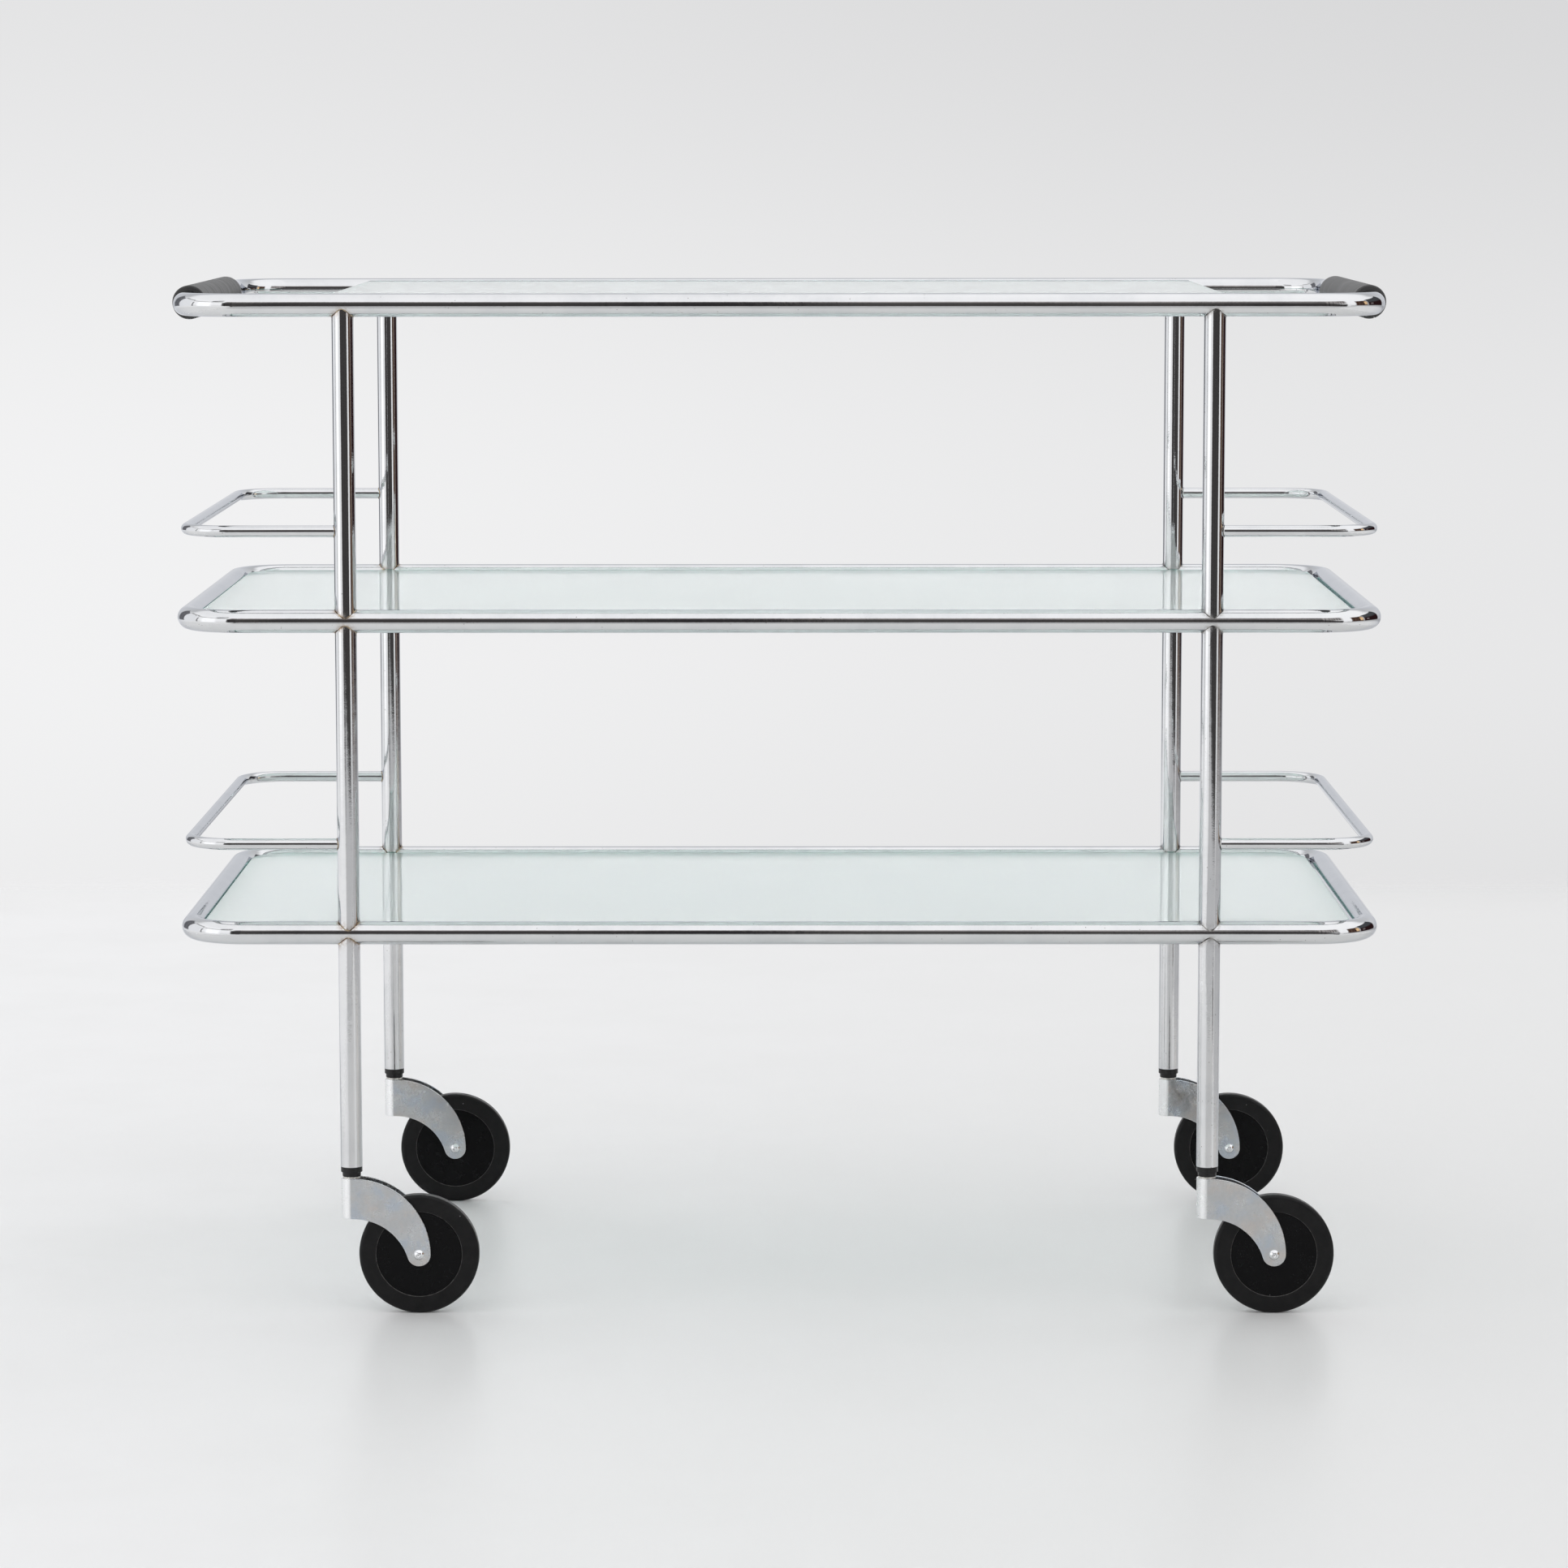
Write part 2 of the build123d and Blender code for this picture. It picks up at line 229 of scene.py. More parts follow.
def add_turned(name, corners, steps, origin, along, finish, body, node, stain_and_highlight_of=None):
    """A closed turned ring from an outline of (radius, height, edge radius) corners. The last argument gives,
    at a radius, the value that the finish uses for dust and for a painted highlight line."""
    outline = [point for point, _ in bent_path(corners, EDGE_STEPS, hold=EDGE_HOLD)]
    stain_and_highlight = [stain_and_highlight_of(radius) for radius, _ in outline] * steps if stain_and_highlight_of else None
    points = lathe_points(outline, steps, origin, along)
    faces = ring_faces(steps, len(outline), True)
    add_piece(name, points, faces, finish, body, [node], stain_and_highlight=stain_and_highlight)


# Node trees

class Finish:
    """A procedural material or world, with short calls for the nodes that the finishes use."""

    def __init__(self, name, tree=None):
        self.material = None
        if tree is None:
            self.material = bpy.data.materials.new(name)
            self.material.use_nodes = True
            tree = self.material.node_tree
        tree.nodes.clear()
        self.tree = tree
        self.place = None

    def add(self, kind, settings=None, **inputs):
        """A node with its settings, and its inputs set or linked by name."""
        node = self.tree.nodes.new("ShaderNode" + kind)
        for key, value in (settings or {}).items():
            setattr(node, key, value)
        for key, value in inputs.items():
            self.put(node.inputs[key.replace("_", " ")], value)
        return node

    def put(self, socket, value):
        """Sets a socket, or links another socket to it."""
        if isinstance(value, bpy.types.NodeSocket):
            self.tree.links.new(value, socket)
        elif socket.type == "RGBA" and len(value) == 3:
            socket.default_value = (*value, 1)
        else:
            socket.default_value = value

    def spot(self, stretch=None):
        """The place on the object, stretched along the axes if asked."""
        if self.place is None:
            self.place = self.add("TexCoord").outputs["Object"]
        if stretch is None:
            return self.place
        node = self.add("VectorMath", {"operation": "MULTIPLY"})
        self.put(node.inputs[0], self.place)
        self.put(node.inputs[1], stretch)
        return node.outputs[0]

    def noise(self, scale, detail=3.0, rough=0.5, stretch=None):
        """Soft noise around a half, with this many waves to the metre."""
        return self.add("TexNoise", Vector=self.spot(stretch), Scale=scale, Detail=detail,
                        Roughness=rough).outputs["Fac"]

    def math(self, operation, a, b=0.0):
        node = self.add("Math", {"operation": operation})
        self.put(node.inputs[0], a)
        self.put(node.inputs[1], b)
        return node.outputs[0]

    def step(self, value, low, high, out_low=0.0, out_high=1.0):
        """A smooth step between two values, as another value goes from low to high."""
        node = self.add("MapRange", {"interpolation_type": "SMOOTHSTEP"})
        for i, v in enumerate((value, low, high, out_low, out_high)):
            self.put(node.inputs[i], v)
        return node.outputs[0]

    def band(self, value, low, high, soft):
        """1 between low and high, falling to 0 within the soft width."""
        rise = self.step(value, low - soft, low + soft)
        fall = self.step(value, high - soft, high + soft, 1.0, 0.0)
        return self.math("MULTIPLY", rise, fall)

    def mix(self, share, a, b):
        node = self.add("Mix", {"data_type": "RGBA"})
        for i, v in ((0, share), (6, a), (7, b)):
            self.put(node.inputs[i], v)
        return node.outputs[2]

    def specks(self, scale, size, share):
        """Small spots, in this share of the cells of a grid with this many cells to the metre."""
        cells = self.add("TexVoronoi", Vector=self.spot(), Scale=scale)
        spot = self.step(cells.outputs["Distance"], size * 0.6, size, 1.0, 0.0)
        pick = self.add("SeparateColor", Color=cells.outputs["Color"]).outputs[0]
        return self.math("MULTIPLY", spot, self.math("LESS_THAN", pick, share))

    def stain_and_highlight(self):
        """The value that some meshes carry, which the finishes use for weld stains and dust, and for painted
        highlights.
        """
        return self.add("Attribute", {"attribute_name": "stain_and_highlight"}).outputs["Fac"]

    def heat_tint(self, brown, grey):
        """The welds' colour: brown on the left end of the trolley, grey on the right."""
        across = self.add("SeparateXYZ", Vector=self.spot()).outputs[0]
        return self.mix(self.step(across, -0.2, 0.2), brown, grey)

    def bump(self, height, distance, before=None):
        node = self.add("Bump", Height=height, Distance=distance)
        if before:
            self.put(node.inputs["Normal"], before)
        return node.outputs[0]

    def close(self, **inputs):
        """Adds the surface shader and the output, and returns the material."""
        shader = self.add("BsdfPrincipled", **inputs)
        self.add("OutputMaterial", Surface=shader.outputs[0])
        return self.material


# Finishes

def chrome(name, haze, ripple, pits):
    """Plating with smudges, a faint ripple, small pits and a brown stain at the welds."""
    f = Finish(name)
    smudge = f.noise(23, 6, 0.62)
    colour = f.mix(f.step(smudge, 0.35, 0.75), (0.73, 0.735, 0.74), (0.665, 0.675, 0.685))
    pitting = f.specks(380, 0.16, f.step(f.noise(7, 2), 0.42, 0.68, 0.2 * pits, 3 * pits))
    colour = f.mix(pitting, colour, (0.16, 0.14, 0.12))
    worn = f.math("MULTIPLY", f.stain_and_highlight(), f.step(f.noise(260, 4, 0.6), 0.32, 0.62))
    colour = f.mix(worn, colour, f.heat_tint((0.30, 0.19, 0.10), (0.30, 0.28, 0.26)))
    rough = f.math("ADD", f.step(smudge, 0.4, 0.8, 0.02, haze), f.math("MULTIPLY", worn, 0.35))
    wave = f.bump(f.noise(70, 2), ripple)
    grain = f.bump(f.noise(900, 3), 0.012 * MM, wave)
    return f.close(Base_Color=colour, Specular_Tint=EDGE_TINT, Metallic=1.0, Roughness=rough, Normal=grain)


def weld():
    """Dull metal of the weld seams, brown with heat and age."""
    f = Finish("weld_seam")
    tone = f.noise(240, 5, 0.65)
    dark = f.heat_tint((0.07, 0.04, 0.022), (0.07, 0.065, 0.06))
    light = f.heat_tint((0.50, 0.40, 0.26), (0.45, 0.44, 0.42))
    colour = f.mix(f.step(tone, 0.40, 0.60), dark, light)
    rough = f.step(tone, 0.3, 0.7, 0.55, 0.28)
    grain = f.bump(f.noise(1300, 2), 0.15 * MM)
    return f.close(Base_Color=colour, Metallic=1.0, Roughness=rough, Normal=grain)


def satin_glass():
    """Satin pane, milky green inside, with a polished face and wipe marks."""
    f = Finish("shelf_glass")
    wipe = f.noise(9, 5, 0.6, (1, 3, 1))
    colour = f.mix(f.step(wipe, 0.35, 0.75), (0.94, 0.982, 0.977), (0.955, 0.99, 0.986))
    rough = f.step(wipe, 0.45, 0.8, 0.94, 1.0)
    smear = f.step(wipe, 0.45, 0.8, 0.0, 0.02)
    return f.close(Base_Color=colour, Roughness=rough, IOR=GLASS_IOR, Specular_IOR_Level=0.0,
                   Transmission_Weight=0.8, Coat_Weight=0.75, Coat_Roughness=smear, Coat_IOR=GLASS_IOR)


def glass_edge():
    """Ground edge of a pane, green through its depth."""
    f = Finish("glass_edge")
    tone = f.noise(160, 4, 0.6)
    colour = f.mix(f.step(tone, 0.35, 0.7), (0.27, 0.53, 0.48), (0.35, 0.61, 0.56))
    rough = f.step(tone, 0.3, 0.7, 0.24, 0.34)
    return f.close(Base_Color=colour, Roughness=rough, IOR=GLASS_IOR, Transmission_Weight=0.1)


def sleeve():
    """Black sleeve with a fine grain around it and a soft sheen."""
    f = Finish("grip_sleeve")
    turned = f.noise(22, 4, 0.65, (0.3, 9, 0.3))
    fine = f.noise(22, 3, 0.6, (0.6, 34, 0.6))
    mottle = f.noise(110, 4, 0.6)
    colour = f.mix(f.step(mottle, 0.35, 0.7), (0.018, 0.018, 0.019), (0.036, 0.036, 0.037))
    colour = f.mix(f.step(turned, 0.42, 0.62, 0.0, 0.6), colour, (0.055, 0.055, 0.056))
    colour = f.mix(f.step(fine, 0.50, 0.66, 0.0, 0.5), colour, (0.075, 0.075, 0.076))
    rough = f.step(turned, 0.3, 0.7, 0.38, 0.54)
    grain = f.bump(f.noise(1500, 3), 0.06 * MM, f.bump(fine, 0.10 * MM, f.bump(turned, 0.35 * MM)))
    return f.close(Base_Color=colour, Roughness=rough, Normal=grain)


def moulded(name, dark, light, rough_low, rough_high, gloss=0.5, grain=0.03 * MM, dust=0.0):
    """Black moulding with a mottled sheen and, if asked, dust specks."""
    f = Finish(name)
    mottle = f.noise(130, 5, 0.65)
    colour = f.mix(f.step(mottle, 0.35, 0.7), dark, light)
    if dust:
        colour = f.mix(f.specks(240, 0.12, dust), colour, (0.42, 0.42, 0.42))
    rough = f.step(mottle, 0.3, 0.75, rough_low, rough_high)
    return f.close(Base_Color=colour, Roughness=rough, Specular_IOR_Level=gloss,
                   Normal=f.bump(f.noise(700, 2), grain))


def rubber():
    """Black rubber, greyed by a painted highlight line on its lip around the hub and by dust where it rolls.
    """
    f = Finish("tyre_rubber")
    mottle = f.noise(150, 5, 0.65)
    colour = f.mix(f.step(mottle, 0.35, 0.7), (0.005, 0.005, 0.0055), (0.009, 0.0087, 0.009))
    # Painted highlight on the lip around the hub, and dust on the tread: the marked points turn grey.
    dust_and_lip_highlight = f.math("MULTIPLY", f.stain_and_highlight(), f.step(f.noise(420, 4, 0.6), 0.35, 0.7, 0.25, 0.85))
    colour = f.mix(dust_and_lip_highlight, colour, (0.13, 0.127, 0.123))
    colour = f.mix(f.specks(260, 0.11, 0.05), colour, (0.30, 0.30, 0.30))
    rough = f.step(mottle, 0.3, 0.75, 0.36, 0.52)
    return f.close(Base_Color=colour, Roughness=rough, Specular_IOR_Level=0.22,
                   Normal=f.bump(f.noise(900, 3), 0.05 * MM))


def satin_steel(name, dark, light, rough_low, rough_high, tinge=0.0):
    """Plated sheet or turned steel with a mottled satin face, a painted highlight where the mesh marks it,
    and faint blue and brown patches if asked."""
    f = Finish(name)
    cloud = f.noise(55, 7, 0.66)
    fleck = f.noise(420, 3, 0.6)
    colour = f.mix(f.step(cloud, 0.32, 0.68), dark, light)
    if tinge:
        hue = f.noise(42, 4, 0.6)
        colour = f.mix(f.step(hue, 0.50, 0.66, 0.0, tinge), colour, (0.48, 0.58, 0.72))
        colour = f.mix(f.step(hue, 0.34, 0.50, tinge, 0.0), colour, (0.70, 0.61, 0.54))
    # Painted highlight: the marked points, the forks' noses, are painted near white.
    colour = f.mix(f.stain_and_highlight(), colour, (0.90, 0.905, 0.91))
    colour = f.mix(f.specks(300, 0.10, 0.04), colour, (0.10, 0.09, 0.08))
    rough = f.step(cloud, 0.3, 0.7, rough_low, rough_high)
    rough = f.math("ADD", rough, f.step(fleck, 0.3, 0.7, -0.03, 0.03))
    relief = f.bump(fleck, 0.010 * MM, f.bump(cloud, 0.015 * MM))
    return f.close(Base_Color=colour, Metallic=1.0, Roughness=rough, Normal=relief)


def clear_vinyl():
    """Cloudy clear pad."""
    f = Finish("clear_vinyl")
    cloud = f.noise(300, 4)
    colour = f.mix(cloud, (0.72, 0.75, 0.74), (0.86, 0.88, 0.87))
    rough = f.step(cloud, 0.3, 0.7, 0.25, 0.4)
    return f.close(Base_Color=colour, Roughness=rough, Transmission_Weight=0.5)


frame_chrome = chrome("frame_chrome", 0.07, 0.05 * MM, 0.05)
leg_chrome = chrome("leg_chrome", 0.09, 0.04 * MM, 0.06)
lower_leg_chrome = chrome("lower_leg_chrome", 0.20, 0.08 * MM, 0.14)
rail_chrome = chrome("rail_chrome", 0.10, 0.03 * MM, 0.10)
weld_finish = weld()
glass_finish = satin_glass()
edge_finish = glass_edge()
sleeve_finish = sleeve()
socket_finish = moulded("socket_plastic", (0.005, 0.005, 0.005), (0.013, 0.013, 0.013), 0.30, 0.46,
                        gloss=0.35)
hub_finish = moulded("hub_plastic", (0.0024, 0.0024, 0.0028), (0.0034, 0.0034, 0.0038), 0.17, 0.20,
                     gloss=0.12, grain=0.002 * MM, dust=0.012)
tyre_finish = rubber()
fork_finish = satin_steel("fork_steel", (0.56, 0.57, 0.58), (0.67, 0.68, 0.69), 0.18, 0.30, tinge=0.4)
rivet_finish = satin_steel("rivet_steel", (0.72, 0.73, 0.74), (0.84, 0.85, 0.86), 0.03, 0.07)
washer_finish = satin_steel("washer_steel", (0.60, 0.58, 0.54), (0.78, 0.77, 0.74), 0.22, 0.34)
stem_finish = satin_steel("stem_steel", (0.34, 0.33, 0.32), (0.50, 0.49, 0.48), 0.28, 0.42)
lug_finish = chrome("lug_chrome", 0.16, 0.02 * MM, 0.08)
pad_finish = clear_vinyl()


# Frame

def saddle(radius, angle):
    """Height from a frame tube's axis to its surface, on an upright cylinder around a leg's axis."""
    return sqrt(frame_r**2 - (radius * sin(angle))**2)


def saddle_curve(axis, level, way, turns):
    """The seam between a leg and the frame tube above (way -1) or below it (way 1)."""
    curve = []
    for k in range(turns):
        a = 2 * pi * k / turns
        z = frame_z[level] + way * saddle(leg_r, a)
        curve.append(Vector((axis.x + leg_r * cos(a), axis.y + leg_r * sin(a), z)))
    return curve


def seam_ways(level):
    """The ways of the legs' seams on a frame: the top one has none above it."""
    return (-1,) if level == "top" else (-1, 1)


def rail_curve(axis, rail_z, turns):
    """The seam between a leg and the end of a gallery rail, on the leg's outer side."""
    outward = 1 if axis.x > 0 else -1
    curve = []
    for k in range(turns):
        a = 2 * pi * k / turns
        across = rail_r * cos(a)
        x = axis.x + outward * sqrt(leg_r**2 - across**2)
        curve.append(Vector((x, axis.y + across, rail_z + rail_r * sin(a))))
    return curve


def weld_stain(point, level):
    """How stained a point of a frame tube is: strong at a leg's seam, fading within millimetres."""
    for axis in leg_axes.values():
        if hypot(point.x - axis.x, point.y - axis.y) < 3 * leg_r:
            seams = [saddle_curve(axis, level, way, WELD_TURNS // 2) for way in seam_ways(level)]
            near = min((point - spot).length for seam in seams for spot in seam)
            return exp(-near / FRAME_STAIN)
    return 0.0


def add_frame_tube(level):
    """Bent tube frame, with closer rings beside the legs."""
    beside = [d * MM for d in (0, 4, 8, 9.5, 11, 13, 16, 20)]
    leg_x = leg_axes["front_right"].x
    stations = sorted({side * leg_x + way * d for side in (-1, 1) for way in (-1, 1) for d in beside})
    front = [(x, -run_y, 0) for x in stations]
    back = [(x, run_y, 0) for x in reversed(stations)]
    bends = {(sx, sy): (sx * run_x, sy * run_y, FRAME_BEND_R) for sx in (-1, 1) for sy in (-1, 1)}
    corners = [bends[-1, -1], *front, bends[1, -1], bends[1, 1], *back, bends[-1, 1]]
    path = bent_path(corners, BEND_STEPS)
    points = tube_points(path, frame_z[level], frame_r, TUBE_SIDES)
    faces = ring_faces(len(path), TUBE_SIDES, True)
    stain_and_highlight = [weld_stain(point, level) for point in points]
    add_piece(f"{level}_frame_finish", points, faces, frame_chrome,
              nodes=[f"{level}_frame_tube"], stain_and_highlight=stain_and_highlight)


def add_leg(part, corner, low_z, high_z, coped_below):
    """Leg tube whose ends are coped over the frame tubes, or cut square at the foot."""
    axis = leg_axes[corner]
    near = [d * MM for d in (0, 0.2, 0.7, 1.5, 3, 5, 8, 14)]
    length = high_z - low_z
    shares = [d / length for d in near] + [0.25, 0.5, 0.75] + [1 - d / length for d in reversed(near)]
    points, stain_and_highlight = [], []
    for radius, run in ((leg_r, shares), (leg_r - LEG_WALL, shares[::-1])):
        for share in run:
            for k in range(TUBE_SIDES):
                a = 2 * pi * k / TUBE_SIDES
                low = low_z + (saddle(radius, a) if coped_below else 0)
                high = high_z - saddle(radius, a)
                z = low + (high - low) * share
                points.append(Vector((axis.x + radius * cos(a), axis.y + radius * sin(a), z)))
                ends = [1 - share] + ([share] if coped_below else [])
                stain_and_highlight.append(exp(-min(ends) * length / LEG_STAIN))
    faces = ring_faces(2 * len(shares), TUBE_SIDES, True)
    finish = lower_leg_chrome if part == "lower" else leg_chrome
    add_piece(f"{part}_leg_finish_{corner}", points, faces, finish,
              nodes=[f"{part}_leg_{corner}"], stain_and_highlight=stain_and_highlight)


def bead_points(curve):
    """A thin uneven bead around a closed curve."""
    ring = [2 * pi * k / WELD_SIDES for k in range(WELD_SIDES)]
    points = []
    count = len(curve)
    for k, place in enumerate(curve):
        ahead = (curve[(k + 1) % count] - curve[k - 1]).normalized()
        across = ahead.orthogonal().normalized() if abs(ahead.z) > 0.95 else ahead.cross(UP).normalized()
        over = ahead.cross(across)
        turn = 2 * pi * k / count
        swell = sum(share * sin(waves * turn + shift * place.x) for waves, share, shift in WELD_WAVES)
        radius = WELD_R * (1 + swell)
        points += [place + radius * (cos(a) * across + sin(a) * over) for a in ring]
    return points


def add_welds():
    """Weld seams where the legs meet the frames and the rails meet the legs."""
    ring = ring_faces(WELD_TURNS, WELD_SIDES, True)
    for corner, axis in leg_axes.items():
        curves = [saddle_curve(axis, level, way, WELD_TURNS) for level in LEVELS for way in seam_ways(level)]
        side = "right" if axis.x > 0 else "left"
        for level in LOWER_LEVELS:
            rail_z = centre_half(f"{level}_gallery_rail_{side}")[0].z
            curves.append(rail_curve(axis, rail_z, WELD_TURNS))
        points, faces = [], []
        for curve in curves:
            start = len(points)
            points += bead_points(curve)
            faces += [tuple(start + i for i in face) for face in ring]
        add_piece(f"weld_seams_{corner}", points, faces, weld_finish)


def add_rail(level, side):
    """Gallery rail bent from rod, butted on the two legs of its end."""
    node = f"{level}_gallery_rail_{side}"
    z = centre_half(node)[0].z
    sign = 1 if side == "right" else -1
    leg_x = leg_axes[f"front_{side}"].x
    end_x = sign * run_x
    butt = [leg_x + sign * (leg_r + d * MM) for d in (0, 0.3, 1.5)]
    front = [*((x, -run_y, 0) for x in butt), (end_x, -run_y, RAIL_BEND_R)]
    back = [(x, -y, bend) for x, y, bend in reversed(front)]
    path = bent_path(front + back, BEND_STEPS, closed=False)
    points = tube_points(path, z, rail_r, ROD_SIDES)
    ends = (range(ROD_SIDES), range(len(points) - ROD_SIDES, len(points)))
    for end in ends:
        for i in end:
            across = abs(points[i].y) - run_y
            points[i].x = leg_x + sign * sqrt(leg_r**2 - across**2)
    faces = ring_faces(len(path), ROD_SIDES) + [tuple(end) for end in ends]
    add_piece(f"{level}_rail_finish_{side}", points, faces, rail_chrome, nodes=[node])


for frame_level in LEVELS:
    add_frame_tube(frame_level)
for leg_corner in CORNERS:
    foot_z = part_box(f"lower_leg_{leg_corner}")[0].z
    add_leg("lower", leg_corner, foot_z, frame_z["lower"], False)
    add_leg("middle", leg_corner, frame_z["lower"], frame_z["middle"], True)
    add_leg("upper", leg_corner, frame_z["middle"], frame_z["top"], True)
add_welds()
for rail_level in LOWER_LEVELS:
    for rail_side in ("left", "right"):
        add_rail(rail_level, rail_side)


# Shelves

def add_pane(level, corner_r):
    """Glass pane with ground edges all round."""
    node = f"{level}_glass_pane"
    centre, half = centre_half(node)
    side_z = half.z - PANE_ARRIS
    rings = ((-half.z, PANE_ARRIS), (-side_z, 0), (side_z, 0), (half.z, PANE_ARRIS))
    points = []
    for z, inset in rings:
        x, y, r = half.x - inset, half.y - inset, corner_r - inset
        outline = bent_path([(-x, -y, r), (x, -y, r), (x, y, r), (-x, y, r)], PANE_CORNER_STEPS)
        points += [centre + Vector((*point, z)) for point, _ in outline]
    count = len(points) // len(rings)
    faces = ring_faces(len(rings), count)
    faces += [tuple(range(count)), tuple(range(len(points) - count, len(points)))]
    piece = add_piece(f"{level}_pane_finish", points, faces, glass_finish,
                      nodes=[node], smooth=False)
    piece.data.materials.append(edge_finish)
    for face in piece.data.polygons[:-2]:   # all but the two large faces
        face.material_index = 1


for pane_level in LOWER_LEVELS:
    add_pane(pane_level, FRAME_BEND_R - frame_r)
add_pane("top", TOP_PANE_CORNER_R)
frame["nodes"]["shelf_rest_lugs"].data.materials[0] = lug_finish
frame["nodes"]["glass_rest_pads"].data.materials[0] = pad_finish


# Handle sleeves

def add_grip(side):
    """Sleeve with rounded lips, split along a seam on its underside."""
    node = f"handle_grip_{side}"
    centre, half = centre_half(node)
    radius = half.x
    corners = [(radius, -half.y, GRIP_EDGE_R), (radius, half.y, GRIP_EDGE_R),
               (frame_r, half.y, EDGE_R), (frame_r, -half.y, EDGE_R)]
    outline = [point for point, _ in bent_path(corners, EDGE_STEPS, hold=GRIP_HOLD)]
    seam_half = GRIP_SEAM_WIDTH / 2 / radius
    around = [2 * pi * k / GRIP_STEPS for k in range(1, GRIP_STEPS)]
    angles = [share * seam_half for share in GRIP_LIPS]
    angles += [a for a in around if 2 * seam_half < a < 2 * pi - 2 * seam_half]
    points = []
    for a in angles:
        sink = GRIP_SEAM_DEPTH if abs(a) < seam_half else 0
        turn = a + GRIP_SEAM_ANGLE
        spoke = Vector((sin(turn), 0, -cos(turn)))
        points += [centre + min(r, radius - sink) * spoke + y * ALONG_Y for r, y in outline]
    faces = ring_faces(len(angles), len(outline), True)
    add_piece(f"grip_finish_{side}", points, faces, sleeve_finish, nodes=[node])


for grip_side in ("left", "right"):
    add_grip(grip_side)


# Casters

def fork_outline(top_z):
    """Side view of a fork's cheek as (x, z) points from the nose's lower end, round the axle, to its upper
    end. x runs from the swivel axis towards the axle."""
    trail = axles["front_left"].x - leg_axes["front_left"].x
    axle_z = axles["front_left"].z
    low_z = top_z - FORK_NOSE_HEIGHT
    run = trail - FORK_ARC_START
    rise_low, rise_top = low_z - axle_z, top_z - axle_z
    low_r = (run**2 + rise_low**2 - FORK_END_R**2) / (2 * (rise_low + FORK_END_R))
    top_r = (run**2 + rise_top**2 - FORK_END_R**2) / (2 * (rise_top - FORK_END_R))
    low_end = atan2(run, axle_z - (low_z - low_r))
    top_end = atan2(run, axle_z - (top_z - top_r))
    points = [(0.0, low_z)]
    for k in range(FORK_STEPS + 1):
        a = low_end * k / FORK_STEPS
        points.append((FORK_ARC_START + low_r * sin(a), low_z - low_r + low_r * cos(a)))
    for k in range(1, FORK_STEPS):
        a = low_end + pi - (low_end + pi - top_end) * k / FORK_STEPS
        points.append((trail + FORK_END_R * sin(a), axle_z + FORK_END_R * cos(a)))
    for k in range(FORK_STEPS + 1):
        a = top_end * (1 - k / FORK_STEPS)
        points.append((FORK_ARC_START + top_r * sin(a), top_z - top_r + top_r * cos(a)))
    points.append((0.0, top_z))
    return points


def add_fork(corner):
    """Sheet bent to a U around the stem, with softened edges."""
    node = f"caster_fork_{corner}"
    low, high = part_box(node)
    axis = leg_axes[corner]
    outer = (high.y - low.y) / 2
    inner = outer - FORK_SHEET
    cheek = fork_outline(high.z)
    nose_ends = cheek[0][1], cheek[-1][1]
    count = len(cheek)
    points, faces, nose_highlight = [], [], []
    for r in (outer, inner):
        points += [Vector((axis.x + x, axis.y - r, z)) for x, z in cheek]
        points += [Vector((axis.x + x, axis.y + r, z)) for x, z in cheek]
        for k in range(1, NOSE_STEPS):
            a = pi * k / NOSE_STEPS
            points += [Vector((axis.x - r * sin(a), axis.y - r * cos(a), z)) for z in nose_ends]
        # The nose's points are marked 1 for the painted highlight on the nose.
        nose_highlight += [0.0] * 2 * count + [1.0] * 2 * (NOSE_STEPS - 1)
    layer = len(points) // 2
    nose = [(0, count - 1)]
    nose += [(2 * count + 2 * k, 2 * count + 2 * k + 1) for k in range(NOSE_STEPS - 1)]
    nose += [(count, 2 * count - 1)]
    for start in (0, layer):
        faces.append(tuple(start + i for i in range(count)))
        faces.append(tuple(start + count + i for i in reversed(range(count))))
        for (a, b), (c, d) in zip(nose, nose[1:]):
            faces.append((start + a, start + b, start + d, start + c))
    rims = [list(range(count)), list(range(count, 2 * count)), [a for a, _ in nose], [b for _, b in nose]]
    for rim in rims:
        for a, b in zip(rim, rim[1:]):
            faces.append((a, b, layer + b, layer + a))
    piece = add_piece(f"fork_finish_{corner}", points, faces, fork_finish,
                      f"caster_{corner}", [node], stain_and_highlight=nose_highlight)
    bevel = piece.modifiers.new("softened_edges", "BEVEL")
    bevel.width, bevel.segments = FORK_EDGE_R, FORK_EDGE_STEPS
    bevel.limit_method, bevel.angle_limit = "ANGLE", FORK_EDGE_ANGLE
    bevel.harden_normals = True


